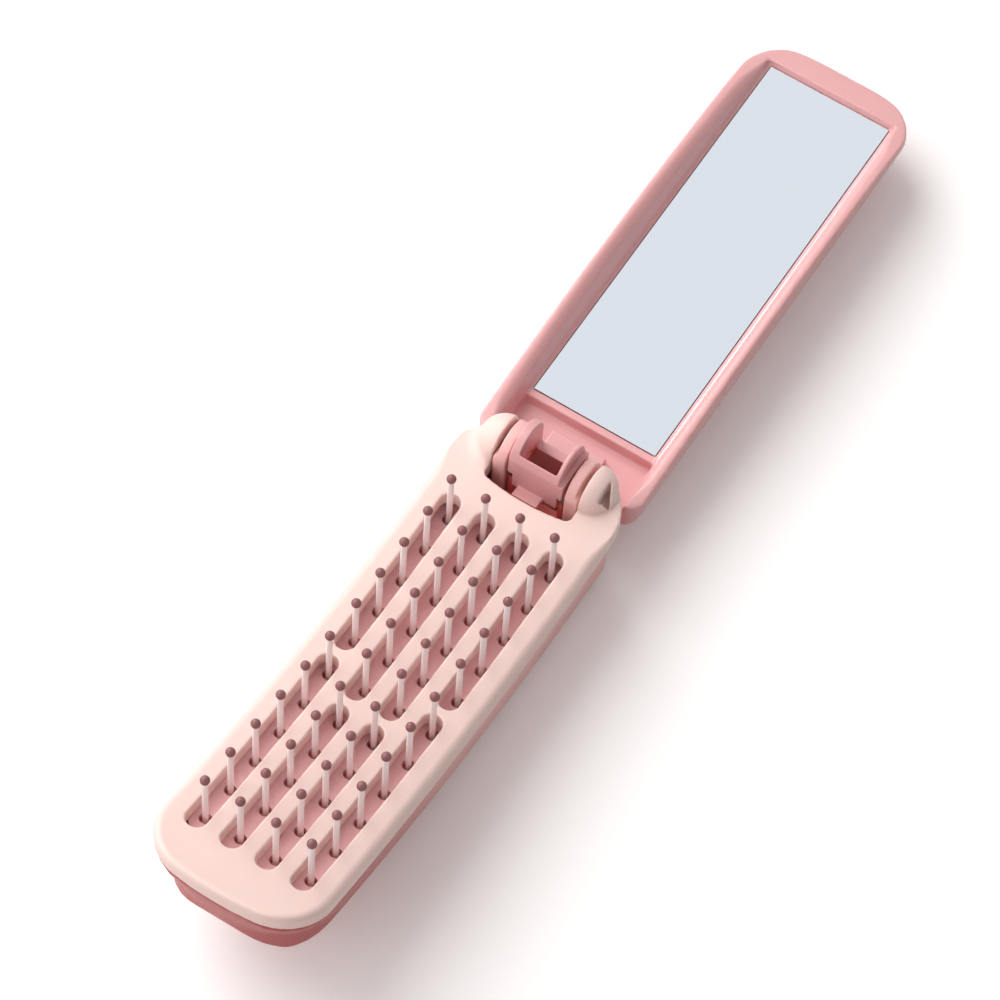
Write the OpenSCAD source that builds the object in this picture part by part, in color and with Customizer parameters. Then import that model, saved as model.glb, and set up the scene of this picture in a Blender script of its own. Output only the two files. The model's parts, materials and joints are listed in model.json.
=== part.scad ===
// Folding hairbrush with mirror, lying open.
// X = width, Y = from the brush half (negative) to the mirror half (positive),
// Z = up. The hinge axis is the line Y = 0 at height axis_z; Z = 0 is the
// flat of the belly that the brush rests on.

/* [Brush half] */
// Width of the comb face plate
face_w = 35.8; // [34.8:0.1:37]
// Last bristle to the far end of the comb face plate
end_margin = 14.8; // [14:0.1:17]
// Radius of the bow of the far end
end_bow_r = 60; // [50:1:75]
// Thickness of the comb face plate
face_t = 4.0; // [3.6:0.1:4.4]
// Height of the lowest line of the comb face above the rest flat
face_low_z = 20.55; // [20.4:0.05:20.9]
// Lengthwise radius of the comb face
face_r = 280; // [265:5:300]
// Distance from the hinge axis to the lowest line of the comb face
face_low_y = 21.5; // [19:0.5:24]
// Corner radius of the comb face plate, seen from above
face_corner_r = 11; // [10:0.25:11.5]
// Step from the edge of the comb face plate in to the back shell
shell_inset = 1.4; // [1.2:0.1:1.6]
// Radius of the far end of the back shell, seen from the side
shell_end_r = 10.5; // [9.5:0.5:12]
// Wall thickness of the back shell
shell_wall = 1.5; // [1.3:0.1:1.6]
// Corner radius along the belly of the back shell
belly_r = 6.4; // [5.2:0.1:6.6]

/* [Bristles] */
// Spacing of the four bristle columns
col_pitch = 7.5; // [7.3:0.05:7.6]
// Spacing of the bristles in one slot
row_pitch = 8.1; // [7.95:0.05:8.2]
// Extra spacing where two slots meet
row_break = 0.7; // [0.5:0.05:0.9]
// Hinge axis to the first bristle
row_first = 16.5; // [16.3:0.1:17]
// Diameter of a bristle pin
pin_d = 1.2; // [1:0.05:1.3]
// Height of a bristle over the guide plate when it is out
pin_out = 16.2; // [15:0.1:16.4]
// Diameter of the ball tip
tip_d = 1.9; // [1.6:0.05:2]
// Diameter of a guide hole
guide_hole_d = 2.45; // [2.4:0.05:2.9]
// Width of the slots in the comb face plate
slot_w = 4.2; // [4:0.05:4.4]

/* [Guide plate and carrier] */
// Lengthwise radius of the guide plate
guide_r = 267; // [255:1:280]
// Distance from the hinge axis to the lowest line of the guide plate
guide_low_y = 17.3; // [15:0.1:19]
// Height of the lowest line of the guide plate top
guide_low_z = 14.35; // [14.3:0.01:14.45]
// Thickness of the guide plate
guide_t = 1.6; // [1.4:0.1:1.7]
// Thickness of the pin carrier
carrier_t = 2.4; // [2.2:0.1:2.5]
// Thickness of the pin retainer
retainer_t = 1.6; // [1.4:0.1:1.7]
// Travel of the carrier
travel = 6.4; // [5.8:0.1:6.5]
// Diameter of a carrier guide post
post_d = 3; // [2.6:0.1:3.2]

/* [Hinge] */
// Height of the hinge axis
axis_z = 21.75; // [21.6:0.05:22.2]
// Radius of the ball-shaped ears
ear_r = 5.2; // [4.8:0.1:5.3]
// Gap between the two ears
ear_gap = 19; // [18.8:0.1:19.4]
// Diameter of the hinge pin
hinge_pin_d = 1.8; // [1.6:0.05:1.9]
// Radius of the two cam cheeks
cam_r = 4.9; // [4.7:0.05:5]
// Offset of the cam cheeks from the hinge axis
cam_e = 3.2; // [3.1:0.05:3.25]
// Width over the two cam cheeks
cam_w = 11.8; // [11.4:0.1:12]
// Thickness of one cam cheek
cheek_t = 1.8; // [1.7:0.05:1.85]
// Radius of the shell knuckles
ring_r = 5.1; // [4.8:0.1:5.2]

/* [Mirror half] */
// Width of the lid
lid_w = 36.2; // [35.4:0.1:37.2]
// Far edge of the mirror to the tip of the lid
lid_end = 6.8; // [6.2:0.1:8]
// Radius of the rounded lower edges of the lid
lid_edge_r = 5.5; // [4.5:0.25:6]
// Height of the underside of the lid
lid_under_z = 8.5; // [8:0.1:8.8]
// Height of the rim at its highest line
rim_top_z = 18.6; // [18.2:0.1:19]
// Lengthwise radius of the rim
rim_arc_r = 450; // [400:10:600]
// Height of the rim at the tip
tip_z = 13.5; // [13.1:0.05:14]
// Radius of the bow of the tip, seen from above
tip_bow_r = 50; // [45:1:60]
// Width of the rim at its highest line
rim_w = 2.3; // [2.1:0.05:2.6]
// Width of the side walls of the lid beside the mirror
wall_w = 3.9; // [3.6:0.05:4.1]
// Thickness of the lid floor
lid_floor_t = 1.5; // [1.3:0.05:1.7]
// Height of the mirror face
mirror_z = 12.7; // [12.6:0.05:13.2]
// Width of the mirror
mirror_w = 27; // [26:0.1:27.4]
// Length of the mirror
mirror_l = 88.7; // [86:0.1:89.2]
// Thickness of the mirror glass
mirror_t = 1.2; // [1:0.05:1.3]
// Hinge axis to the near edge of the mirror
mirror_y = 17.5; // [17.3:0.1:18.2]

/* [Hidden] */

$fn = 64;
hw = face_w / 2;
shell_hw = hw - shell_inset;
inner_hw = shell_hw - shell_wall;

// Clearances
run = 0.05;        // running fit on the hinge pin, radial
slide = 0.1;       // carrier on its posts, radial
seat = 0.2;        // carrier top to guide plate when out
cheek_gap = 0.9;   // cam cheek to follower at rest
joint_gap = 0.03;  // between faces that meet when assembled

// Carrier stack below the guide plate, measured down from the guide arc
car_top = guide_t + seat;
car_bot = car_top + carrier_t;
ret_bot = car_bot + retainer_t;
floor_in = ret_bot + travel + 0.4;
floor_out = guide_low_z + 0.15;

// Bristle rows, as distances from the hinge axis
function row_s(j, ups) = row_first + row_pitch * j + (j >= ups ? row_break : 0);
function ups(c) = (c == 1 || c == 2) ? 6 : 5;
function col_x(c) = (c - 1.5) * col_pitch;
// Height of the guide arc and of the face arc at distance s from the axis
function guide_z(s) = guide_low_z + guide_r - sqrt(pow(guide_r, 2) - pow(s - guide_low_y, 2));
function face_z(s) = face_low_z + face_r - sqrt(pow(face_r, 2) - pow(s - face_low_y, 2));
last_s = row_s(10, 5);
brush_l = last_s + end_margin;
lid_l = mirror_y + mirror_l + lid_end;

// Stations on the centre line
s_screw1 = row_s(0, 5) + row_pitch / 2;
s_spring1 = row_s(1, 5) + row_pitch / 2;
s_post1 = row_s(3, 5) + row_pitch / 2;
s_screw2 = (row_s(5, 6) + row_s(6, 6)) / 2;
s_post2 = row_s(6, 5) + row_pitch / 2;
s_spring2 = row_s(8, 5) + row_pitch / 2;
s_screw3 = row_s(9, 5) + row_pitch / 2;
x_ret = col_pitch;
s_ret1 = row_s(2, 5) + row_pitch / 2;
s_ret2 = row_s(7, 5) + row_pitch / 2;

inner_r = 2.8;     // lower corners inside the back shell
stern_r = face_corner_r + 4;  // far corners of the back shell
boss_r = 2.2;      // screw bosses
edge_near = 3.9;   // carrier's and guide plate's edge before the first bristle
edge_far = 3.2;    // carrier's edge past the last bristle
edge_side = 2;     // carrier's edge beside the outer bristles
car_near = row_first - edge_near;
car_far = last_s + edge_far;
car_hw = col_x(3) + edge_side;
screw_inset = 6.8; // far case screws, in from the end of the comb face
case_s2 = brush_l - screw_inset;
guide_near = car_near - seat;
guide_corner_r = 6;
guide_far = case_s2 - boss_r - 0.6;

notch_mid = cam_r + cam_e + 0.65;
notch_sag = 1;     // bow of the notch over the gap between the ears
notch_r = (pow(ear_gap / 2, 2) + pow(notch_sag, 2)) / (2 * notch_sag);
notch_corner_r = 1.2;
ear_x = ear_gap / 2;
pocket_x = ear_x + 3;  // flat side of the right ear, in the pin pocket
pocket_w = 2;
pocket_y = 3.2;
pocket_skew = 1.3;
pocket_far_y = 2.1;
pocket_z = axis_z - 1.2;
pin_inset = 0.3;   // hinge pin's end below the flat side
prong_t = 0.9;
ring_x1 = cam_w / 2 + 0.6;
ring_x2 = ear_x - 0.2;
ring_relief = 0.7;
washer_r = 2.6;
end_wall_y = 2.6;
window_drop = 9.2; // foot of the window for the stop tab below the hinge axis

spring_r = 1.8;
spring_wire = 0.35;
spring_pocket = 2.15;
spring_skin = 0.8;

screw_d = 2.0;
screw_head_d = 3.6;
case_x1 = inner_hw - boss_r - 0.1;
case_s1 = 8.2;
case_x2 = 6.8;
screw_head_t = 1.4;
case_seat1 = 5.2;  // seat of a near screw's head over the rest flat
case_seat2 = 8.4;  // seat of a far screw's head below the guide arc
case_split1 = 0.6; // where the posts of shell and comb face meet,
case_split2 = 3;   // below the guide arc
case_bite = 4.4;   // length of a case screw in the comb face
small_d = 1.3;     // small screws
small_hole = 1.8;
guide_head_d = 2.8;
guide_head_t = 0.9;
guide_bite = 2.2;
guide_seat = 0.5;  // depth of a guide screw's head in the guide plate
ret_head_d = 2.7;
ret_head_t = 0.8;
ret_seat = 0.7;    // seat of a retainer screw's head in the retainer
ret_bite = 1.6;

lid_hw = lid_w / 2;
frame_side = 0.5;   // least width of the mirror frame beside the glass
hollow_hw = max(lid_hw - wall_w, mirror_w / 2 + frame_side);
hollow_far = mirror_y + mirror_l + 0.5;
lid_floor_z = lid_under_z + lid_floor_t;
front_t = 0.8;     // front wall of the cam block's well
web_t = 2.05;
tab_x = -3.4;      // stop tab, left side and width
tab_w = 5.4;
tab_t = 1.2;
tab_drop = 5;      // underside of the tab below the hinge axis
tab_reach = 7.2;
skirt = 5;         // front wall below the hinge axis
seat_drop = 1;     // solid under the cam below the hinge axis
rear_drop = 1.8;   // low rear wall of the well below the hinge axis
groove_rise = 3.4; // groove beside the right cheek above the hinge axis
cam_screw_l = 1.2; // screw holes in the foot of the cam block
groove_w = 0.95;
lid_corner_r = 9.8;
lid_near_r = 3;
tip_low_r = 2.2;   // rounded tip, seen from the side, below and above
tip_top_r = 2.3;
mirror_gap = 0.15; // round the mirror glass
tape_t = 0.3;
ledge_w = 1.8;     // ledge before the near edge of the mirror
frame_gap = 0.05;  // mirror frame in the lid
swing_gap = 0.4;   // lid to the end wall of the back shell
foot_l = 9.6;      // foot of the cam block on the lid's floor
foot_t = 1.6;
cam_screw_x = 3;
cam_screw_y = 9.6;
cam_screw_d = 1.7;
cam_head_d = 3.4;
cam_head_t = 0.9;

// Spans that reach past the whole object
tall = 60;
wide = 40;
long = 150;
arc_hw = 30;

cream = [0.94, 0.86, 0.81];
pink = [0.90, 0.66, 0.66];
pink2 = [0.86, 0.58, 0.57];

// ---------- helpers ----------

module xcyl(r, x0, x1, y, z, fn = 64) {
    translate([x0, y, z]) rotate([0, 90, 0]) cylinder(r = r, h = x1 - x0, $fn = fn);
}

// The space above a lengthwise arc whose lowest line is at height zt, y = -low
module above_arc(r, low, zt, w = arc_hw) {
    translate([-w, -low, zt + r]) rotate([0, 90, 0]) rotate([0, 0, 180]) cylinder(r = r, h = 2 * w, $fn = 360);
}

// Material between two equal lengthwise arcs: the top at height zt over the
// low line, t thick
module arc_slab(r, low, zt, t) {
    difference() {
        above_arc(r, low, zt - t);
        above_arc(r, low, zt, arc_hw + 1);
    }
}

// Points along an arc of n steps
function arc(x, y, r, a0, a1, n) =
    [for (i = [0:n]) let (a = a0 + (a1 - a0) * i / n) [x + r * cos(a), y + r * sin(a)]];

// Flat outline, h wide each way, with a straight end at y = y1, its corners
// rounded by rn, and a bowed far end at y = -len whose corners run into it
// without a step
module far_plan(h, len, rc, re, y1, rn = 0) {
    cx = h - rc;
    dy = sqrt(pow(re - rc, 2) - pow(cx, 2));
    cy = -len + re - dy;
    lean = atan2(dy, cx);
    polygon(concat(
        rn > 0 ? arc(h - rn, y1 - rn, rn, 90, 0, 12) : [[h, y1]],
        arc(cx, cy, rc, 0, -lean, 9),
        arc(0, -len + re, re, -lean - 1, lean - 179, 12),
        arc(-cx, cy, rc, lean - 180, -180, 9),
        rn > 0 ? arc(rn - h, y1 - rn, rn, 180, 90, 12) : [[-h, y1]]));
}

// Outline of the comb face plate with its ears
module comb_plan() {
    far_plan(hw, brush_l, face_corner_r, end_bow_r, ear_r, face_corner_r);
}

// Gap between the ears, bowed towards the bristles
module notch2d() {
    cx = ear_x - notch_corner_r;
    cy = notch_r - notch_mid - sqrt(pow(notch_r - notch_corner_r, 2) - pow(cx, 2));
    lean = asin(cx / (notch_r - notch_corner_r));
    polygon(concat(
        arc(-cx, cy, notch_corner_r, 180, 270 - lean, 8),
        arc(0, notch_r - notch_mid, notch_r, 271 - lean, 269 + lean, 24),
        arc(cx, cy, notch_corner_r, lean - 90, 0, 8), [[ear_x, hw], [-ear_x, hw]]));
}

module slot2d(x, s1, s2) {
    for (s = [s1, s2]) translate([x, -s]) circle(d = slot_w);
    translate([x - slot_w / 2, -s2]) square([slot_w, s2 - s1]);
}

// ---------- brush half ----------

// Rounded end of the comb face plate with a half ball on each side of the gap
module ears() {
    difference() {
        intersection() {
            xcyl(ear_r, -arc_hw, arc_hw, 0, axis_z);
            linear_extrude(tall) comb_plan();
        }
        translate([-ear_x, -20, 0]) cube([2 * ear_x, 40, tall]);
        above_arc(face_r, face_low_y, face_low_z);
    }
    for (sx = [-1, 1]) intersection() {
        translate([sx * ear_x, 0, axis_z]) rotate([0, 90, 0]) sphere(r = ear_r);
        translate([sx > 0 ? ear_x : -ear_x - 2 * ear_r, -2 * ear_r, 0]) cube([2 * ear_r, 4 * ear_r, tall]);
    }
}

module comb_frame() {
    color(cream) difference() {
        union() {
            intersection() {
                translate([0, 0, face_low_z - 10]) linear_extrude(50) difference() {
                    comb_plan();
                    notch2d();
                    for (c = [0:3]) {
                        slot2d(col_x(c), row_first, row_s(ups(c) - 1, 6) + 3.2);
                        slot2d(col_x(c), row_s(ups(c), ups(c)) + 0.5, last_s + 2.8);
                    }
                }
                arc_slab(face_r, face_low_y, face_low_z, face_t);
                translate([-wide, -long, 0]) cube([2 * wide, long, tall]);
            }
            ears();
            // screw bosses under the plate
            for (sx = [-1, 1]) {
                translate([sx * case_x1, -case_s1, guide_z(case_s1) - case_split1])
                    cylinder(r = boss_r, h = face_z(case_s1) - 1.5 - guide_z(case_s1) + case_split1);
                translate([sx * case_x2, -case_s2, guide_z(case_s2) - case_split2])
                    cylinder(r = boss_r, h = face_z(case_s2) - 1.5 - guide_z(case_s2) + case_split2);
            }
            // seats of the guide plate under the centre rib
            for (s = [s_screw1, s_screw2, s_screw3])
                translate([-1.45, -s - 1.45, guide_z(s) + 0.35])
                    cube([2.9, 2.9, face_z(s) - 1.5 - guide_z(s) - 0.35]);
        }
        // bore of the hinge pins, blind in the left ear
        xcyl(hinge_pin_d / 2, 0.5 - pocket_x, pocket_x + pin_inset, 0, axis_z);
        // pocket beside the right ear where its hinge pin goes in
        translate([pocket_x, 0, pocket_z]) linear_extrude(tall)
            polygon([[0, -pocket_y], [pocket_w, pocket_skew - pocket_y], [0, pocket_far_y]]);
        for (sx = [-1, 1]) {
            translate([sx * case_x1, -case_s1, 0]) cylinder(d = screw_d - 0.3, h = face_z(case_s1) - 1.2);
            translate([sx * case_x2, -case_s2, 0]) cylinder(d = screw_d - 0.3, h = face_z(case_s2) - 1.2);
        }
        for (s = [s_screw1, s_screw2, s_screw3])
            translate([0, -s, 0]) cylinder(d = small_d, h = guide_z(s) + 3.2);
    }
}

// Space inside an outline whose far end is drawn in by radius re, down to a
// lengthwise arc whose lowest line is at height low; rn rounds the hinge end
module shell_form(h, far, rc, y1, low, re, rn) {
    zc = low + guide_r - sqrt(pow(guide_r - re, 2) - pow(far - re - guide_low_y, 2));
    lean = acos((far - re - guide_low_y) / (guide_r - re));
    intersection() {
        linear_extrude(tall) far_plan(h, far, rc, end_bow_r - brush_l + far, y1, rn);
        translate([-wide, 0, 0]) rotate([90, 0, 90]) linear_extrude(2 * wide)
            polygon(concat([[tall, -2], [tall, tall], [-far, tall]],
                arc(re - far, zc, re, 180, 181.5 + lean, 10),
                [[re - far - re * cos(lean + 1.5), -2]]));
    }
}

// Cross-section h wide each way with lower corners of radius rc, carried along
// a lengthwise arc whose lowest line is at height low
module shell_section(h, low, rc) {
    r = guide_r;
    translate([0, -guide_low_y, low + r]) rotate([0, 90, 0])
        rotate([0, 0, -30]) rotate_extrude(angle = 60, $fn = 360)
            polygon(concat([[r - 50, h], [r - 50, -h]],
                arc(r - rc, rc - h, rc, -90, 0, 8),
                arc(r - rc, h - rc, rc, 0, 90, 8)));
}

module shell_outer() {
    low = guide_low_z - floor_out;
    intersection() {
        shell_form(shell_hw, brush_l - shell_inset, stern_r, end_wall_y, low, shell_end_r,
            face_corner_r - shell_inset);
        shell_section(shell_hw, low, belly_r);
        translate([-wide, -long, 0]) cube([2 * wide, 2 * long, tall]);
    }
}

module shell_inner() {
    low = guide_low_z - floor_in;
    intersection() {
        shell_form(inner_hw, brush_l - shell_inset - shell_wall, stern_r - shell_wall,
            end_wall_y - shell_wall, low, shell_end_r - shell_wall, face_corner_r - shell_inset - shell_wall);
        shell_section(inner_hw, low, inner_r);
    }
}

module back_shell() {
    color(pink2) difference() {
        union() {
            difference() {
                shell_outer();
                shell_inner();
                // everything above the underside of the comb face plate
                above_arc(face_r, face_low_y, face_low_z - face_t - joint_gap);
                // seats of the ears
                xcyl(ear_r + joint_gap, -arc_hw, 0.15 - ear_x, 0, axis_z);
                xcyl(ear_r + joint_gap, ear_x - 0.15, arc_hw, 0, axis_z);
                // window for the cam and the stop tab
                translate([-cam_w / 2 - 0.5, -2, axis_z - window_drop]) cube([cam_w + 1, 10, 30]);
            }
            // knuckles between the ears and the cam
            for (sx = [-1, 1]) {
                xa = sx > 0 ? ring_x1 : -ring_x2;
                xb = sx > 0 ? ring_x2 : -ring_x1;
                difference() {
                    union() {
                        xcyl(ring_r, xa, xb, 0, axis_z);
                        translate([xa, -ring_r, 2.5]) cube([xb - xa, ring_r + end_wall_y, axis_z - 2.5]);
                    }
                    // relief beside the ear
                    translate([sx > 0 ? ring_x2 - ring_relief : -ring_x2 - 1, -2 * ring_r, axis_z + 1.8])
                        cube([ring_relief + 1, 4 * ring_r, tall]);
                }
            }
            // carrier guide posts
            for (s = [s_post1, s_post2])
                translate([0, -s, guide_z(s) - floor_in - 1]) cylinder(d = post_d, h = floor_in + 1 - guide_t - 0.35);
            // screw posts
            for (sx = [-1, 1]) {
                translate([sx * case_x1, -case_s1, 1]) cylinder(r = boss_r, h = guide_z(case_s1) - case_split1 - 1);
                translate([sx * case_x2, -case_s2, guide_z(case_s2) - floor_in - 1])
                    cylinder(r = boss_r, h = floor_in + 1 - case_split2);
            }
            // level seats of the springs, each with a locating stub
            for (s = [s_spring1, s_spring2]) translate([0, -s, guide_z(s) - floor_in - 1]) {
                cylinder(r = spring_pocket - 0.15, h = spring_seat + floor_in + 1);
                cylinder(r = 1.1, h = 2.6);
            }
        }
        xcyl(hinge_pin_d / 2 + run, -hw, hw, 0, axis_z);
        for (sx = [-1, 1]) {
            translate([sx * case_x1, -case_s1, -1]) cylinder(d = screw_d + 0.2, h = 40);
            translate([sx * case_x1, -case_s1, -1]) cylinder(d = screw_head_d + 0.4, h = 1 + case_seat1);
            translate([sx * case_x2, -case_s2, -1]) cylinder(d = screw_d + 0.2, h = tall);
            translate([sx * case_x2, -case_s2, -1])
                cylinder(d = screw_head_d + 0.4, h = 1 + guide_z(case_s2) - case_seat2);
        }
    }
}

module guide_plate() {
    color(pink) difference() {
        intersection() {
            linear_extrude(tall) far_plan(inner_hw - seat, guide_far, guide_corner_r, end_bow_r, -guide_near);
            arc_slab(guide_r, guide_low_y, guide_low_z, guide_t);
        }
        for (c = [0:3]) for (j = [0:10])
            translate([col_x(c), -row_s(j, ups(c)), 0]) cylinder(d = guide_hole_d, h = tall, $fn = 32);
        for (s = [s_screw1, s_screw2, s_screw3]) translate([0, -s, 0]) {
            cylinder(d = small_hole, h = tall);
            cylinder(d = guide_head_d + 0.4, h = guide_z(s) - guide_t + guide_seat);
        }
        for (s = [s_screw1, s_screw2, s_screw3])
            translate([-1.6, -s - 1.6, guide_z(s) + 0.35 - 1]) cube([3.2, 3.2, 5]);
    }
}

// ---------- carrier ----------

module centre_holes(rs, rp) {
    for (s = [s_screw1, s_screw2, s_screw3]) translate([0, -s, 0]) cylinder(r = rs, h = tall);
    for (s = [s_post1, s_post2]) translate([0, -s, 0]) cylinder(r = rp, h = tall);
}

module pin_carrier() {
    follower_top = axis_z - (cam_r - cam_e) - cheek_gap - 0.8;
    arm_z = guide_z(car_near) - car_bot;
    color([0.95, 0.88, 0.88]) difference() {
        union() {
            intersection() {
                linear_extrude(tall) far_plan(car_hw, car_far, 5, end_bow_r, -car_near);
                arc_slab(guide_r, guide_low_y, guide_low_z - car_top, carrier_t);
            }
            // arm to the cam and its two prongs
            translate([-cam_w / 2, -car_near - 2, arm_z]) cube([cam_w, car_near + 2 - 2.9, 2.3]);
            for (sx = [-1, 1]) translate([sx > 0 ? cam_w / 2 - prong_t : -cam_w / 2, 0, 0]) {
                translate([0, -4.2, arm_z]) cube([prong_t, 1.3, follower_top - arm_z]);
                translate([0, -4.2, follower_top - 1.6]) cube([prong_t, 4.8, 1.6]);
            }
        }
        for (c = [0:3]) for (j = [0:10]) {
            s = row_s(j, ups(c));
            translate([col_x(c), -s, 0]) cylinder(d = pin_d, h = tall, $fn = 32);
            translate([col_x(c), -s, 0]) cylinder(r = 1.4, h = guide_z(s) - car_top - 1.1, $fn = 32);
        }
        centre_holes(1.9, post_d / 2 + slide);
        for (s = [s_spring1, s_spring2])
            translate([0, -s, 0]) cylinder(r = spring_pocket, h = guide_z(s) - car_top - spring_skin);
        for (sx = [-1, 1]) for (s = [s_ret1, s_ret2])
            translate([sx * x_ret, -s, 0]) cylinder(d = small_d, h = guide_z(s) - car_top - 0.5);
    }
}

module pin_retainer() {
    color([0.80, 0.76, 0.77]) difference() {
        union() {
            intersection() {
                linear_extrude(tall) far_plan(car_hw - 0.4, car_far - 0.4, 4.6, end_bow_r, -car_near - 2.4);
                arc_slab(guide_r, guide_low_y, guide_low_z - car_bot - joint_gap, retainer_t - joint_gap);
            }
            for (c = [0:3]) for (j = [0:10]) {
                s = row_s(j, ups(c));
                translate([col_x(c), -s, guide_z(s) - car_bot - 0.8])
                    cylinder(r = 1.2, h = car_bot + 0.8 - car_top - 1.1 - 0.8, $fn = 32);
            }
        }
        centre_holes(1.9, post_d / 2 + slide);
        for (s = [s_spring1, s_spring2]) translate([0, -s, 0]) cylinder(r = spring_pocket, h = tall);
        for (sx = [-1, 1]) for (s = [s_ret1, s_ret2]) translate([sx * x_ret, -s, 0]) {
            cylinder(d = small_hole, h = tall);
            cylinder(d = ret_head_d + 0.3, h = guide_z(s) - car_bot - ret_seat);
        }
    }
}

module bristle_pins() {
    color([0.96, 0.90, 0.91]) for (c = [0:3]) for (j = [0:10]) {
        s = row_s(j, ups(c));
        z = guide_z(s);
        translate([col_x(c), -s, z - car_top - 1.1 - 0.8]) {
            cylinder(r = 1.25, h = 0.8, $fn = 32);
            cylinder(d = pin_d, h = car_top + 1.9 + pin_out - tip_d / 2 - tip_flat, $fn = 32);
        }
    }
}

// The ball sits flat on the end of the pin
tip_flat = sqrt(pow(tip_d / 2, 2) - pow(pin_d / 2, 2));

module bristle_tips() {
    color([0.50, 0.30, 0.31]) for (c = [0:3]) for (j = [0:10]) {
        s = row_s(j, ups(c));
        translate([col_x(c), -s, guide_z(s) + pin_out - tip_d / 2]) intersection() {
            sphere(d = tip_d, $fn = 32);
            translate([-2, -2, -tip_flat]) cube([4, 4, 4]);
        }
    }
}

module follower_strip() {
    z = axis_z - (cam_r - cam_e) - cheek_gap - 0.8;
    color([0.75, 0.76, 0.78]) for (sx = [-1, 1])
        translate([sx > 0 ? cam_w / 2 - prong_t : -cam_w / 2, -4.2, z]) cube([prong_t, 4.8, 0.8]);
}

// Closed helix as a swept round wire
module helix(r, w, h, turns) {
    n = 18;
    m = 8;
    steps = n * turns;
    pts = [for (i = [0:steps]) let (a = i * 360 / n, z = w + (h - 2 * w) * i / steps)
           for (k = [0:m - 1]) let (b = k * 360 / m)
           [(r + w * cos(b)) * cos(a), (r + w * cos(b)) * sin(a), z + w * sin(b)]];
    faces = concat(
        [[for (k = [0:m - 1]) k]],
        [for (i = [0:steps - 1]) for (k = [0:m - 1])
            [i * m + k, (i + 1) * m + k, (i + 1) * m + (k + 1) % m, i * m + (k + 1) % m]],
        [[for (k = [m - 1:-1:0]) steps * m + k]]);
    polyhedron(points = pts, faces = faces, convexity = 10);
}

// Height over the guide arc's level of a spring's seat and of its upper end
spring_seat = 0.65 - floor_in;
spring_top = -car_top - spring_skin;

module lift_spring(s) {
    color([0.72, 0.73, 0.76]) translate([0, -s, guide_z(s) + spring_seat + 0.05])
        helix(spring_r - spring_wire / 2, spring_wire / 2, spring_top - spring_seat - 0.1, 7);
}

module near_spring() {
    lift_spring(s_spring1);
}

module far_spring() {
    lift_spring(s_spring2);
}

// ---------- fasteners ----------

module screw(d, hd, ht, l) {
    difference() {
        cylinder(d = hd, h = ht, $fn = 32);
        for (a = [0, 90]) rotate([0, 0, a]) translate([-hd * 0.3, -d * 0.12, -0.1])
            cube([hd * 0.6, d * 0.24, ht * 0.6 + 0.1]);
    }
    translate([0, 0, ht]) cylinder(d = d, h = l, $fn = 32);
}

module case_screws() {
    color([0.55, 0.56, 0.58]) for (sx = [-1, 1]) {
        translate([sx * case_x1, -case_s1, case_seat1 - screw_head_t])
            screw(screw_d - 0.3, screw_head_d, screw_head_t, guide_z(case_s1) - case_split1 - case_seat1 + case_bite);
        translate([sx * case_x2, -case_s2, guide_z(case_s2) - case_seat2 - screw_head_t])
            screw(screw_d - 0.3, screw_head_d, screw_head_t, case_seat2 - case_split2 + case_bite);
    }
}

module guide_screws() {
    color([0.55, 0.56, 0.58]) for (s = [s_screw1, s_screw2, s_screw3])
        translate([0, -s, guide_z(s) - guide_t + guide_seat - 0.02 - guide_head_t])
            screw(small_d, guide_head_d, guide_head_t, guide_t + guide_bite);
}

module retainer_screws() {
    color([0.55, 0.56, 0.58]) for (sx = [-1, 1]) for (s = [s_ret1, s_ret2])
        translate([sx * x_ret, -s, guide_z(s) - car_bot - ret_seat - ret_head_t])
            screw(small_d, ret_head_d, ret_head_t, ret_seat + ret_bite);
}

module hinge_pin() {
    x_in = cam_w / 2 - cheek_t + 0.3;
    color([0.78, 0.79, 0.81]) {
        xcyl(hinge_pin_d / 2, 0.5 - pocket_x, -x_in, 0, axis_z);
        xcyl(hinge_pin_d / 2, x_in, pocket_x - pin_inset, 0, axis_z);
    }
}

module hinge_washers() {
    color([0.90, 0.90, 0.88]) for (sx = [-1, 1]) difference() {
        xcyl(washer_r, sx > 0 ? cam_w / 2 + 0.05 : -ring_x1 + 0.05,
            sx > 0 ? ring_x1 - 0.05 : -cam_w / 2 - 0.05, 0, axis_z);
        xcyl(hinge_pin_d / 2 + run, -hw, hw, 0, axis_z);
    }
}

// ---------- mirror half ----------

module lid_plan(h, len, rc, re, y0, rn) {
    mirror([0, 1]) far_plan(h, len, rc, re, -y0, rn);
}

// Height of the rim at distance y from the axis
function rim_z(y) = max(tip_z, rim_top_z - pow(y - 50, 2) / (2 * rim_arc_r) - (y > 94 ? pow(y - 94, 2) / 150 : 0));

// Side view of the lid: the rim line over a floor with a rounded tip
module lid_side(low, tip) {
    n = 26;
    y0 = 0;
    y1 = tip - tip_top_r;
    polygon(concat([[y0, low]],
        arc(tip - tip_low_r, low + tip_low_r, tip_low_r, -90, 0, 6),
        arc(y1, rim_z(y1) - tip_top_r, tip_top_r, 0, 80, 6),
        [for (i = [n:-1:0]) let (y = y0 + (y1 - y0) * i / n) [y, rim_z(y)]]));
}

// Cross-section of the lid with rounded lower corners
module lid_section(h, low, rr) {
    polygon(concat([[-h, tall]],
        arc(rr - h, low + rr, rr, 180, 270, 8),
        arc(h - rr, low + rr, rr, 270, 360, 8), [[h, tall]]));
}

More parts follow.
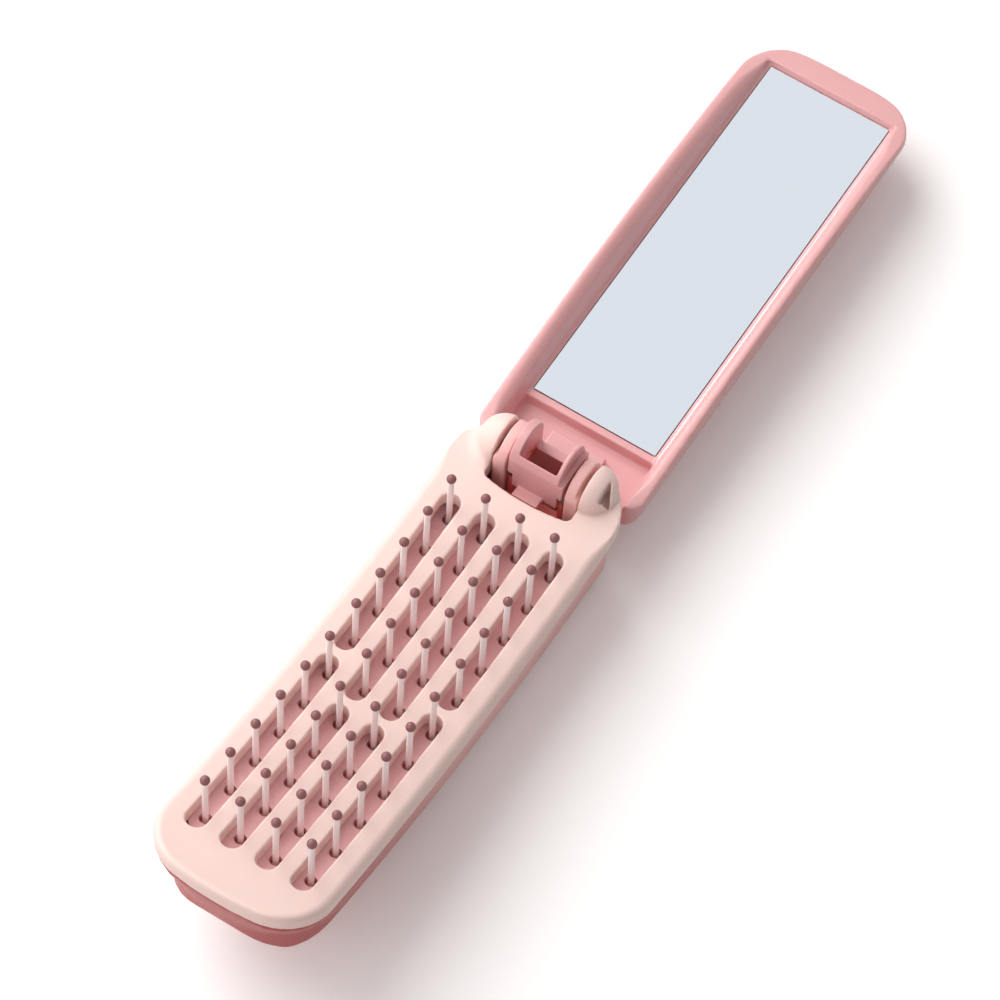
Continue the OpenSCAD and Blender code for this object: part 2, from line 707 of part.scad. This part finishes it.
// Cross-section of the hollow of the lid, whose walls lean out over the mirror
module hollow_section() {
    top_z = rim_top_z + 1;
    top_hw = hollow_hw + (lid_hw - rim_w - hollow_hw) * (top_z - mirror_z) / (rim_top_z - mirror_z);
    polygon([[-top_hw, top_z], [-hollow_hw, mirror_z], [-hollow_hw, lid_floor_z],
        [hollow_hw, lid_floor_z], [hollow_hw, mirror_z], [top_hw, top_z]]);
}

module lid_shell() {
    color(pink) difference() {
        intersection() {
            linear_extrude(tall) lid_plan(lid_hw, lid_l, lid_corner_r, tip_bow_r, end_wall_y + swing_gap, lid_near_r);
            translate([-wide, 0, 0]) rotate([90, 0, 90]) linear_extrude(2 * wide) lid_side(lid_under_z, lid_l);
            translate([0, long, 0]) rotate([90, 0, 0]) linear_extrude(1.1 * long)
                lid_section(lid_hw, lid_under_z, lid_edge_r);
        }
        translate([0, hollow_far, 0]) rotate([90, 0, 0]) linear_extrude(long) hollow_section();
        // screw holes of the cam block
        for (sx = [-1, 1]) translate([sx * cam_screw_x, cam_screw_y, 0]) {
            cylinder(d = cam_screw_d + 0.5, h = tall);
            cylinder(d = cam_head_d + 0.6, h = lid_under_z + 0.7);
        }
    }
}

module mirror_frame() {
    seat_t = mirror_z - mirror_t - tape_t - lid_floor_z;
    bay = (mirror_l - 1) / 4;
    color(pink) difference() {
        translate([frame_gap - hollow_hw, mirror_y - ledge_w, lid_floor_z])
            cube([2 * (hollow_hw - frame_gap), hollow_far - frame_gap - mirror_y + ledge_w,
                mirror_z + 0.05 - lid_floor_z]);
        translate([-mirror_w / 2 - mirror_gap, mirror_y - mirror_gap, lid_floor_z + seat_t])
            cube([mirror_w + 2 * mirror_gap, mirror_l + 2 * mirror_gap, tall]);
        // hollow under the seat
        for (i = [0:3]) translate([1 - mirror_w / 2, mirror_y + 1 + i * bay, lid_floor_z - 1])
            cube([mirror_w - 2, bay - 1.2, seat_t]);
    }
}

module mirror_tape() {
    color([0.25, 0.25, 0.27]) translate([1.5 - mirror_w / 2, mirror_y + 1.5, mirror_z - mirror_t - tape_t])
        cube([mirror_w - 3, mirror_l - 3, tape_t]);
}

module mirror_glass() {
    color([0.80, 0.84, 0.88]) translate([-mirror_w / 2, mirror_y, mirror_z - mirror_t])
        cube([mirror_w, mirror_l, mirror_t]);
}

// Cam with two cheeks round an open well, on a foot on the lid's floor
module cam_block() {
    zc = axis_z + cam_e;
    hc = cam_w / 2;
    well_hw = hc - cheek_t;
    wall_hw = hc - prong_t - 0.15;
    front_y = 0.02 - cam_r;
    well_y = front_y + front_t;
    web_y = end_wall_y + 0.25;
    foot_z = lid_floor_z + 0.05;
    color(pink) difference() {
        union() {
            xcyl(cam_r, -hc, hc, 0, zc);
            translate([-hc, front_y, axis_z - seat_drop]) cube([2 * hc, cam_r, cam_e + seat_drop]);
            translate([-hc, 0, axis_z]) cube([2 * hc, web_y + web_t, cam_e]);
            // front wall between the prongs of the follower, and stop tab
            translate([-wall_hw, front_y, axis_z - skirt]) cube([2 * wall_hw, front_t, skirt]);
            translate([tab_x, -tab_reach, axis_z - tab_drop]) cube([tab_w, tab_reach + well_y, tab_t]);
            // web and foot
            translate([-hc, web_y, foot_z]) cube([2 * hc, web_t, axis_z - lid_floor_z]);
            translate([-hc, web_y, foot_z]) cube([2 * hc, foot_l, foot_t]);
        }
        // well, open to the back over the web
        translate([-well_hw, well_y, 0]) cube([2 * well_hw, web_y - well_y, tall]);
        translate([-well_hw, 0, axis_z - rear_drop]) cube([2 * well_hw, tall, tall]);
        // groove beside the right cheek
        translate([hc - groove_w, -2 * cam_r, axis_z + groove_rise]) cube([2 * groove_w, 4 * cam_r, tall]);
        xcyl(hinge_pin_d / 2 + run, -hw, hw, 0, axis_z);
        for (sx = [-1, 1]) translate([sx * cam_screw_x, cam_screw_y, 0])
            cylinder(d = cam_screw_d, h = foot_z + cam_screw_l);
    }
}

module cam_screws() {
    color([0.55, 0.56, 0.58]) for (sx = [-1, 1])
        translate([sx * cam_screw_x, cam_screw_y, lid_under_z + 0.65 - cam_head_t])
            screw(cam_screw_d, cam_head_d, cam_head_t, lid_floor_t + 0.6);
}

comb_frame();
back_shell();
guide_plate();
pin_carrier();
pin_retainer();
bristle_pins();
bristle_tips();
follower_strip();
near_spring();
far_spring();
case_screws();
guide_screws();
retainer_screws();
hinge_pin();
hinge_washers();
lid_shell();
cam_block();
cam_screws();
mirror_frame();
mirror_tape();
mirror_glass();
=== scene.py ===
import json
import math

import bmesh
import bpy
import numpy as np
from mathutils import Matrix, Vector


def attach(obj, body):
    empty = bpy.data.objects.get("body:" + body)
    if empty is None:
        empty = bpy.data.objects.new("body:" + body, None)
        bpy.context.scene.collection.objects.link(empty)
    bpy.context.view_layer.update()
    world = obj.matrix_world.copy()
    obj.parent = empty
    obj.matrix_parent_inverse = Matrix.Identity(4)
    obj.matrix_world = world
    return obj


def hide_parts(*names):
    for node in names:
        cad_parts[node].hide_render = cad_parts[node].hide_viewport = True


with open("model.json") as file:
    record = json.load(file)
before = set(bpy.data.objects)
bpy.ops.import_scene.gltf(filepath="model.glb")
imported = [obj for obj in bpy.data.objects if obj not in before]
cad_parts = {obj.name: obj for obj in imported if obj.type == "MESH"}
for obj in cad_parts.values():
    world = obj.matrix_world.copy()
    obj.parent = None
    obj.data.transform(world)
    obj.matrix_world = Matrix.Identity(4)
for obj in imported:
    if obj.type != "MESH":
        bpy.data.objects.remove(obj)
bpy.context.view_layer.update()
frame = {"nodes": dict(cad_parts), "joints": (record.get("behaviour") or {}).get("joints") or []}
nodes = frame["nodes"]
scene = bpy.context.scene

MM = 0.001


def link(name, data):
    """A new object in the scene."""
    obj = bpy.data.objects.new(name, data)
    scene.collection.objects.link(obj)
    return obj


def points(obj):
    """The vertices of a mesh object, in mm."""
    co = np.empty(len(obj.data.vertices) * 3)
    obj.data.vertices.foreach_get("co", co)
    return co.reshape(-1, 3) / MM


def limits(part):
    """Lowest and highest corner of a CAD node's box, in mm to two places."""
    co = points(nodes[part])
    return np.round(co.min(axis=0), 2), np.round(co.max(axis=0), 2)


# ---------- camera ----------

CAM_AZIMUTH = 27.8348      # degrees, the camera stands to the right of the brush end
CAM_ELEVATION = 60.5155
CAM_ROLL = 4.9956
CAM_DISTANCE = 984.777     # mm
CAM_TARGET = (-5.3373, -7.855, 14.75)
CAM_LENS = 188.9           # mm
CAM_SENSOR = 36            # mm
CAM_NEAR, CAM_FAR = 0.01, 10     # metres


def camera_axes():
    """Right, up and back of the camera."""
    az, el, roll = (math.radians(a) for a in (CAM_AZIMUTH, CAM_ELEVATION, CAM_ROLL))
    back = Vector((math.sin(az) * math.cos(el), -math.cos(az) * math.cos(el), math.sin(el)))
    right = Vector((math.cos(az), math.sin(az), 0))
    up = back.cross(right)
    return (math.cos(roll) * right + math.sin(roll) * up,
            -math.sin(roll) * right + math.cos(roll) * up,
            back)


def make_camera():
    right, up, back = camera_axes()
    data = bpy.data.cameras.new("camera")
    data.lens = CAM_LENS
    data.sensor_width = CAM_SENSOR
    data.clip_start = CAM_NEAR
    data.clip_end = CAM_FAR
    cam = link("camera", data)
    place = (Vector(CAM_TARGET) + back * CAM_DISTANCE) * MM
    turn = Matrix((right, up, back)).transposed().to_4x4()
    cam.matrix_world = Matrix.Translation(place) @ turn
    scene.camera = cam


# ---------- materials ----------

NOISE_DETAIL = 4                             # of a fine texture
CLOUD_SCALE, CLOUD_DETAIL = 60, 3            # slow unevenness of a moulded piece
CLOUD_DARK, CLOUD_LIGHT = 0.05, 0.03         # how much darker and lighter it makes the colour
SKIN_SCALE, SKIN_GRAIN, SKIN_DEPTH = 2400, 0.03, 0.0002     # fine texture of its skin
GLOSS_DOWN, GLOSS_UP = 0.06, 0.08            # spread of its roughness
GLOW_RADIUS, GLOW_SCALE = (1.0, 0.5, 0.4), 0.0012           # how far light spreads in it
COAT_ROUGH = 0.25
METAL_SCALE = 900                            # fine texture of bare metal
METAL_DOWN, METAL_UP = 0.1, 0.15             # spread of a metal's roughness
MIRROR_ROUGH = 0.04
SHARP_ANGLE = 28                             # degrees, edges past it stay sharp


def srgb(r, g, b):
    """Linear colour of an 8-bit display colour."""
    def lin(v):
        v = v / 255
        return v / 12.92 if v <= 0.04045 else ((v + 0.055) / 1.055) ** 2.4
    return (lin(r), lin(g), lin(b), 1)


def shader(tree, kind, inputs, **settings):
    """A new shader node. Each input is a value or the output of another node."""
    made = tree.nodes.new("ShaderNode" + kind)
    for name, value in settings.items():
        setattr(made, name, value)
    feed(tree, made, inputs)
    return made.outputs


def feed(tree, node, inputs):
    """Sets a shader node's inputs."""
    for name, value in inputs.items():
        if isinstance(value, bpy.types.NodeSocket):
            tree.links.new(value, node.inputs[name])
        else:
            node.inputs[name].default_value = value


def noise(tree, place, scale, detail=NOISE_DETAIL):
    """Noise fixed to the body."""
    return shader(tree, "TexNoise", {"Vector": place, "Scale": scale, "Detail": detail})["Fac"]


def blend(tree, share, first, second):
    """A colour between two others."""
    return shader(tree, "MixRGB", {"Fac": share, "Color1": first, "Color2": second})["Color"]


def between(tree, share, low, high):
    """A value between two others."""
    return shader(tree, "MapRange", {"Value": share, "To Min": low, "To Max": high})["Result"]


def greater(tree, first, second):
    """The greater of two values."""
    return shader(tree, "Math", {0: first, 1: second}, operation="MAXIMUM")[0]


def paint_shade_along(tree, place, tone, colour, axis, start, end):
    """Paints shade along an axis of the body: mixes a darker tone into another, from start to end in mm."""
    split = shader(tree, "SeparateXYZ", {"Vector": place})
    reach = shader(tree, "MapRange", {"Value": split[axis], "From Min": start * MM, "From Max": end * MM},
                   interpolation_type="SMOOTHSTEP")["Result"]
    return blend(tree, reach, tone, colour)


def new_material(name):
    """A material, its tree, its shader and the place on the body."""
    mat = bpy.data.materials.new(name)
    mat.use_nodes = True
    tree = mat.node_tree
    return mat, tree, tree.nodes["Principled BSDF"], shader(tree, "TexCoord", {})["Object"]


def plastic(name, colour, rough, coat=0.0, sss=0.1, painted_shade=None):
    """Moulded plastic: a slightly cloudy colour, a fine skin texture and uneven gloss.

    painted_shade = (colour, axis, start, end) paints shade into the tone along an axis, in mm: a darker
    colour that stands in for shade.
    """
    mat, tree, bsdf, place = new_material(name)
    cloud = noise(tree, place, CLOUD_SCALE, CLOUD_DETAIL)
    low = tuple(c * (1 - CLOUD_DARK) for c in colour[:3]) + (1,)
    high = tuple(min(1, c * (1 + CLOUD_LIGHT)) for c in colour[:3]) + (1,)
    tone = blend(tree, cloud, low, high)
    if painted_shade:
        tone = paint_shade_along(tree, place, tone, *painted_shade)
    skin = noise(tree, place, SKIN_SCALE)
    bump = shader(tree, "Bump", {"Strength": SKIN_GRAIN, "Distance": SKIN_DEPTH, "Height": skin})
    feed(tree, bsdf, {
        "Base Color": tone,
        "Roughness": between(tree, cloud, rough - GLOSS_DOWN, rough + GLOSS_UP),
        "Normal": bump["Normal"],
        "Subsurface Weight": sss,
        "Subsurface Radius": GLOW_RADIUS,
        "Subsurface Scale": GLOW_SCALE,
        "Coat Weight": coat,
        "Coat Roughness": COAT_ROUGH,
    })
    return mat


def metal(name, colour, rough):
    """Bare metal with an uneven gloss."""
    mat, tree, bsdf, place = new_material(name)
    cloud = noise(tree, place, METAL_SCALE)
    feed(tree, bsdf, {
        "Metallic": 1,
        "Base Color": colour,
        "Roughness": between(tree, cloud, rough - METAL_DOWN, rough + METAL_UP),
    })
    return mat


def mirror(name, colour):
    """Silvered glass."""
    mat, tree, bsdf, _ = new_material(name)
    feed(tree, bsdf, {"Metallic": 1, "Base Color": colour, "Roughness": MIRROR_ROUGH})
    return mat


MATERIALS = {
    "cream": plastic("cream_plastic", srgb(242, 214, 207), rough=0.42, sss=0.25),
    "pink": plastic("pink_plastic", srgb(229, 172, 173), rough=0.36, sss=0.2, coat=0.25),
    # the shell darkens to a dark rose towards its far end: painted shade, for the underside of the far end
    # lies away from the light
    "shell": plastic("shell_plastic_painted_shade", srgb(243, 190, 186), rough=0.36, sss=0.15,
                     painted_shade=(srgb(184, 84, 82), "Y", -40, -112)),
    "rose": plastic("rose_plastic", srgb(255, 203, 206), rough=0.42, sss=0.25),
    "pin": plastic("pin_nylon", srgb(255, 240, 241), rough=0.3, sss=0.3),
    "tip": plastic("tip_plastic", srgb(142, 88, 90), rough=0.26),
    "inner": plastic("inner_plastic", srgb(232, 118, 110), rough=0.5),
    # the well's faces darken to deep red towards its bottom: painted shade, with the red of light thrown
    # between the pink walls
    "well": plastic("well_plastic_painted_shade", srgb(238, 172, 170), rough=0.45, sss=0.3,
                    painted_shade=(srgb(228, 64, 58), "Z", 24, 20.5)),
    "steel": metal("steel", (0.55, 0.56, 0.58, 1), rough=0.3),
    "mirror": mirror("mirror_silver", srgb(236, 240, 245)),
    "tape": plastic("tape_foam", srgb(60, 60, 64), rough=0.8),
}

LOOKS = {
    "cream": ["comb_frame"],
    "shell": ["back_shell"],
    "rose": ["guide_plate"],
    "inner": ["pin_carrier", "pin_retainer", "hinge_washers"],
    "pin": ["bristle_pins"],
    "tip": ["bristle_tips"],
    "pink": ["lid_shell", "cam_block", "mirror_frame"],
    "steel": ["follower_strip", "near_spring", "far_spring", "case_screws", "guide_screws",
              "retainer_screws", "hinge_pin", "cam_screws"],
    "mirror": ["mirror_glass"],
    "tape": ["mirror_tape"],
}


def dress_nodes():
    """Gives each CAD node its material."""
    for look, parts in LOOKS.items():
        for part in parts:
            data = nodes[part].data
            data.materials.clear()
            data.materials.append(MATERIALS[look])
            data.shade_smooth()
            data.set_sharp_from_angle(angle=math.radians(SHARP_ANGLE))


# ---------- tools for the moulded pieces, in mm ----------

WELD = 1e-6            # metres, between vertices that are one
SMOOTHING = 0.5        # how far one pass takes a vertex to the middle of its neighbours
WEIGHT_STEPS = 10
NEVER_ZERO = 1e-9      # keeps a division from failing


def settle(obj):
    """Makes the modifiers part of the mesh, and drops the weights that they used."""
    depsgraph = bpy.context.evaluated_depsgraph_get()
    fine = bpy.data.meshes.new_from_object(obj.evaluated_get(depsgraph))
    obj.modifiers.clear()
    obj.data = fine
    obj.vertex_groups.clear()


def smooth_modifier(obj, passes):
    """Smoothing that settle() applies."""
    soft = obj.modifiers.new("soft", "SMOOTH")
    soft.factor = SMOOTHING
    soft.iterations = passes
    return soft


def moulded(name, parts, voxel, passes, look):
    """One piece over the named CAD nodes, remeshed finely, with every edge and inner corner softened."""
    bm = bmesh.new()
    for part in parts:
        bm.from_mesh(nodes[part].data)
    bmesh.ops.remove_doubles(bm, verts=bm.verts, dist=WELD)
    mesh = bpy.data.meshes.new(name)
    bm.to_mesh(mesh)
    bm.free()
    obj = link(name, mesh)
    grid = obj.modifiers.new("grid", "REMESH")
    grid.mode = "VOXEL"
    grid.voxel_size = voxel * MM
    smooth_modifier(obj, passes)
    settle(obj)
    obj.data.materials.clear()
    obj.data.materials.append(MATERIALS[look])
    obj.data.shade_smooth()
    return obj


def set_points(obj, co):
    """Moves the vertices of a mesh object to these places in mm."""
    obj.data.vertices.foreach_set("co", (co * MM).ravel())
    obj.data.update()


def steps(value):
    """Weights from 0 to 1 in a few even steps, so that few calls set them."""
    return np.round(np.clip(value, 0, 1) * WEIGHT_STEPS) / WEIGHT_STEPS


def soften(obj, weight, passes):
    """More smoothing, where weight (one number per vertex) says so."""
    weight = steps(weight)
    group = obj.vertex_groups.new(name="soft")
    for level in np.unique(weight[weight > 0]):
        group.add(np.flatnonzero(weight == level).tolist(), float(level), "REPLACE")
    smooth_modifier(obj, passes).vertex_group = group.name
    settle(obj)


def ramp(value, start, run):
    """0 up to start, 1 from start + run on."""
    return np.clip((value - start) / run, 0, 1)


def rounded(d, t, radius):
    """Moves points at d in from the side and t below the top onto a round edge: their new d and t.

    Points nearer to the top go on its upper half, the others on its lower half.
    """
    theta = np.where(t <= d, 45 + 45 * np.clip(d / radius, 0, 1), 45 * (1 - np.clip(t / radius, 0, 1)))
    theta = np.radians(theta)
    return radius * (1 - np.cos(theta)), radius * (1 - np.sin(theta))


# ---------- comb face ----------

FACE_HW = limits("comb_frame")[1][0]
FACE_LEN = -limits("comb_frame")[0][1]
FACE_T = 4.0
CORNER_R, BOW_R = 11.0, 60.0                 # of its outline's far corners and far end
FACE_R = 280.0                               # of its curve from the side
FACE_LOW_Y, FACE_LOW_Z = 21.5, 20.55         # how far before the hinge and how high its lowest place is
FACE_ROUND = 1.7                             # radius of its upper edge
ROUND_START, ROUND_RUN = 5.5, 6.0            # where before the hinge the rounding starts and grows

lid_hinge = next(joint for joint in frame["joints"] if joint["name"] == "lid_hinge")
HINGE_Y, HINGE_Z = (round(v / MM, 3) for v in lid_hinge["pos_m"][1:])
EAR_IN, EAR_R = 9.5, 5.2                     # inner face and radius of the ears
SEAM_START, SEAM_FADE = 1.6, 1.6             # softening of the left ear's foot: how it fades from the seam,
SEAM_EDGE = 0.8                              # and the run from the ear's inner face to its full weight
SEAM_PASSES = 300


def face_top(y):
    """Height of the comb face's upper side."""
    return FACE_LOW_Z + FACE_R - np.sqrt(FACE_R ** 2 - (y + FACE_LOW_Y) ** 2)


def edge_distance(x, y, inset=0.0, corner_r=CORNER_R):
    """Distance in from the outline of the comb face, or of the shell under it, and the outward
    direction there."""
    hw, bow_r = FACE_HW - inset, BOW_R - inset
    ax = np.abs(x)
    cx = hw - corner_r
    dy = math.sqrt((bow_r - corner_r) ** 2 - cx ** 2)
    bow_y = BOW_R - FACE_LEN
    cy = bow_y - dy
    lean = math.atan2(dy, cx)
    d = hw - ax
    nx, ny = np.ones_like(ax), np.zeros_like(ax)
    vx, vy = ax - cx, y - cy
    ang = np.arctan2(-vy, vx)
    r = np.hypot(vx, vy) + NEVER_ZERO
    corner = (y < cy) & (ang > 0) & (ang <= lean)
    d[corner] = (corner_r - r)[corner]
    nx[corner], ny[corner] = (vx / r)[corner], (vy / r)[corner]
    wx, wy = ax, y - bow_y
    q = np.hypot(wx, wy) + NEVER_ZERO
    end = (y < cy) & ~corner & (wy < 0)
    d[end] = (bow_r - q)[end]
    nx[end], ny[end] = (wx / q)[end], (wy / q)[end]
    return d, nx * np.sign(x), ny


def round_face_edge(obj):
    """Rounds the outer upper edge of the comb face, less and less towards the ears."""
    least, above = 0.05, 0.3     # smallest radius, and how far over the surface a point may lie
    co = points(obj)
    x, y, z = co.T
    top = face_top(y)
    d, nx, ny = edge_distance(x, y)
    t = top - z
    r = FACE_ROUND * ramp(-y, ROUND_START, ROUND_RUN)
    live = (r > least) & (d < r) & (t < r) & (t > -above)
    d, t = np.clip(d, 0, None), np.clip(t, 0, None)
    inset, depth = rounded(d, t, np.where(r > least, r, 1))
    co[live, 0] += (nx * (d - inset))[live]
    co[live, 1] += (ny * (d - inset))[live]
    co[live, 2] = (top - depth)[live]
    set_points(obj, co)


def soften_ear_seam(obj):
    """Blends the foot of the left ear into the comb face."""
    co = points(obj)
    beside = np.abs(co[:, 0]) - EAR_IN
    ball = np.abs(np.linalg.norm(co - (-EAR_IN, HINGE_Y, HINGE_Z), axis=1) - EAR_R)
    plate = np.abs(co[:, 2] - face_top(co[:, 1]))
    seam = SEAM_START - np.maximum(ball, plate) / SEAM_FADE
    soften(obj, np.minimum(seam, beside / SEAM_EDGE) * (co[:, 0] < 0), SEAM_PASSES)


def make_comb_face():
    face = moulded("comb_face", ["comb_frame"], voxel=0.24, passes=5, look="cream")
    round_face_edge(face)
    soften_ear_seam(face)
    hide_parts("comb_frame")
    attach(face, "brush")


# ---------- back case ----------

SHELL_INSET = round(FACE_HW - limits("back_shell")[1][0], 2)
SHELL_CORNER_R = 15.0
SHELL_SKIN = 1.3                 # only points this near to its outside move
FLUSH_MARGIN = 0.25              # what the shell's upper edge stays inside the comb face
FLUSH_DEPTH = 9.0                # how far down from the comb face the edge is drawn out
FLUSH_START, FLUSH_RUN = 9.0, 8.0            # it grows from the hinge to the far end


def flush_shell(obj):
    """Draws the upper edge of the shell out to the comb face above it."""
    co = points(obj)
    x, y, z = co.T
    under = face_top(y) - FACE_T
    own, _, _ = edge_distance(x, y, SHELL_INSET, SHELL_CORNER_R)
    face_d, nx, ny = edge_distance(x, y)
    near_top = np.clip(1 - (under - z) / FLUSH_DEPTH, 0, 1)
    near_top = near_top * near_top * (3 - 2 * near_top)
    share = near_top * np.clip(1 - own / SHELL_SKIN, 0, 1) * ramp(-y, FLUSH_START, FLUSH_RUN)
    out = share * np.clip(face_d - FLUSH_MARGIN, 0, None)
    co[:, 0] += nx * out
    co[:, 1] += ny * out
    set_points(obj, co)


def make_back_case():
    shell = moulded("back_case", ["back_shell"], voxel=0.26, passes=10, look="shell")
    flush_shell(shell)
    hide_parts("back_shell")
    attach(shell, "brush")


# ---------- mirror lid ----------

LID_HW = limits("lid_shell")[1][0]
HOLLOW_HW, RIM_W = 14.2, 2.3                 # half width at the mirror, and width of the rim on top
RIM_TOP_Z = limits("lid_shell")[1][2]
RIM_HIGH_Y, RIM_ARC_R = 50.0, 450.0          # highest place and curve of the rim from the side
FALL_Y, FALL_R = 94.0, 75.0                  # where it starts to fall to the tip, and that curve
TIP_Z = 13.5
MIRROR_Z = limits("mirror_glass")[1][2]
RIM_ROUND, RIM_SHARE = 1.7, 0.8              # radius, and its largest share of the wall's height
RIM_START, RIM_END = 4.0, 107.0              # where the rounding starts and ends along the lid
RIM_START_RUN, RIM_END_RUN = 6.0, 8.0
RIM_SOFT_X, RIM_SOFT_Z = (13.9, 0.6), (13.2, 0.8)           # start and run of the last softening
RIM_PASSES = 8


def round_inner_rim(obj):
    """Rounds the inner upper edge of the lid's side walls."""
    least, near, outer_skin = 0.1, 0.4, 0.5     # smallest radius, a point's play, and what stays outside
    co = points(obj)
    x, y, z = co.T
    fall = np.where(y > FALL_Y, (y - FALL_Y) ** 2 / (2 * FALL_R), 0)
    top = np.maximum(TIP_Z, RIM_TOP_Z - (y - RIM_HIGH_Y) ** 2 / (2 * RIM_ARC_R) - fall)
    inner = HOLLOW_HW + (LID_HW - RIM_W - HOLLOW_HW) * (z - MIRROR_Z) / (RIM_TOP_Z - MIRROR_Z)
    d = np.abs(x) - inner
    t = top - z
    r = RIM_ROUND * ramp(y, RIM_START, RIM_START_RUN) * ramp(RIM_END - y, 0, RIM_END_RUN)
    r = np.minimum(r, RIM_SHARE * (top - MIRROR_Z))
    live = (r > least) & (d < r) & (t < r) & (d > -near) & (t > -near) & (np.abs(x) < LID_HW - outer_skin)
    d, t = np.clip(d, 0, None), np.clip(t, 0, None)
    inset, depth = rounded(d, t, np.where(r > least, r, 1))
    co[live, 0] += (np.sign(x) * (inset - d))[live]
    co[live, 2] = (top - depth)[live]
    set_points(obj, co)


def soften_rim(obj):
    """Smooths the rim's upper side again after its rounding."""
    co = points(obj)
    (x_start, x_run), (z_start, z_run) = RIM_SOFT_X, RIM_SOFT_Z
    soften(obj, np.minimum((np.abs(co[:, 0]) - x_start) / x_run, (co[:, 2] - z_start) / z_run), RIM_PASSES)


def make_mirror_lid():
    lid = moulded("mirror_lid", ["lid_shell", "mirror_frame"], voxel=0.24, passes=10, look="pink")
    round_inner_rim(lid)
    soften_rim(lid)
    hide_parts("lid_shell", "mirror_frame")
    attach(lid, "lid")


# ---------- hinge cam ----------

# the faces inside this box get the well's painted shade
WELL_HW, WELL_TOP_Z = 4.25, 25.5             # box of the faces that lie in the well
WELL_START_Y, WELL_END_Y = -4.3, 2.6


def paint_well_shade(obj):
    """Gives the faces of the well between the cheeks painted shade: a material that darkens to deep red
    towards the well's bottom, standing in for the dim, reddened light inside it.
    """
    obj.data.materials.append(MATERIALS["well"])
    middle = np.empty(len(obj.data.polygons) * 3)
    obj.data.polygons.foreach_get("center", middle)
    x, y, z = (middle.reshape(-1, 3) / MM).T
    painted_shade_faces = (np.abs(x) < WELL_HW) & (y > WELL_START_Y) & (y < WELL_END_Y) & (z < WELL_TOP_Z)
    obj.data.polygons.foreach_set("material_index", painted_shade_faces.astype(np.int32))


def make_hinge_cam():
    cam = moulded("hinge_cam", ["cam_block"], voxel=0.13, passes=12, look="pink")
    paint_well_shade(cam)
    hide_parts("cam_block")
    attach(cam, "lid")


# ---------- stage ----------

FLOOR_HALF = 3.0                             # metres
FLOOR_BOUNCE = (0.86, 0.85, 0.85, 1)         # colour of the light that the floor throws back
FLOOR_SEEN = (1.08, 1.08, 1.09, 1)           # colour that the camera sees
FLOOR_GLOW = 0.04                            # seen by the camera alone
WHITE = (1, 1, 1, 1)

# name, direction from the part, distance and size in metres, power, colour
LAMPS = [
    ("key", (-0.67, 0.07, 0.74), 1.3, 1.5, 15.4, (1.0, 0.985, 0.965)),
    ("front", (-0.5, -0.8, 0.5), 1.3, 0.9, 4.0, (1.0, 0.975, 0.96)),
    ("edge", (-0.75, 0.42, 0.5), 1.1, 0.55, 1.6, (1.0, 0.99, 0.98)),
]

SKY_LOW, SKY_HIGH = 0.02, 0.66               # light on the object from the horizon and from overhead
SKY_SEEN = 0.9                               # how bright gloss and the camera see the sky
SKY_WARM, SKY_COOL = (1.0, 0.965, 0.945, 1), (0.94, 0.965, 1.0, 1)      # colours of the two


def make_floor():
    """White paper under the object."""
    s = FLOOR_HALF
    mesh = bpy.data.meshes.new("floor")
    mesh.from_pydata([(-s, -s, 0), (s, -s, 0), (s, s, 0), (-s, s, 0)], [], [(0, 1, 2, 3)])
    floor = link("floor", mesh)
    mat = bpy.data.materials.new("floor_paper")
    mat.use_nodes = True
    tree = mat.node_tree
    tree.nodes.clear()
    seen = shader(tree, "LightPath", {})["Is Camera Ray"]
    paper = blend(tree, seen, FLOOR_BOUNCE, FLOOR_SEEN)
    diffuse = shader(tree, "BsdfDiffuse", {"Color": paper})[0]
    amount = shader(tree, "Math", {0: seen, 1: FLOOR_GLOW}, operation="MULTIPLY")[0]
    glow = shader(tree, "Emission", {"Color": WHITE, "Strength": amount})[0]
    both = shader(tree, "AddShader", {0: diffuse, 1: glow})[0]
    shader(tree, "OutputMaterial", {"Surface": both})
    mesh.materials.append(mat)


def soft_lamp(name, way, distance, size, power, colour):
    """A round lamp that looks at the part from a direction."""
    way = Vector(way).normalized()
    data = bpy.data.lights.new(name, "AREA")
    data.shape = "DISK"
    data.size = size
    data.energy = power
    data.color = colour
    lamp = link(name, data)
    lamp.location = way * distance
    lamp.rotation_euler = way.to_track_quat("Z", "Y").to_euler()


def make_world():
    """Pale room: its light on the object grows from the horizon to overhead, and gloss, glass
    and the camera see it evenly bright."""
    world = bpy.data.worlds.new("studio")
    scene.world = world
    world.use_nodes = True
    tree = world.node_tree
    path = shader(tree, "LightPath", {})
    seen = greater(tree, path["Is Camera Ray"], path["Is Glossy Ray"])
    seen = greater(tree, seen, path["Is Transmission Ray"])
    way = shader(tree, "TexCoord", {})["Generated"]
    height = shader(tree, "SeparateXYZ", {"Vector": way})["Z"]
    sky = between(tree, height, SKY_LOW, SKY_HIGH)
    feed(tree, tree.nodes["Background"], {
        "Strength": between(tree, seen, sky, SKY_SEEN),
        "Color": blend(tree, seen, SKY_WARM, SKY_COOL),
    })


make_camera()
dress_nodes()
make_comb_face()
make_back_case()
make_mirror_lid()
make_hinge_cam()
make_floor()
for lamp in LAMPS:
    soft_lamp(*lamp)
make_world()

scene.view_settings.view_transform = "Standard"
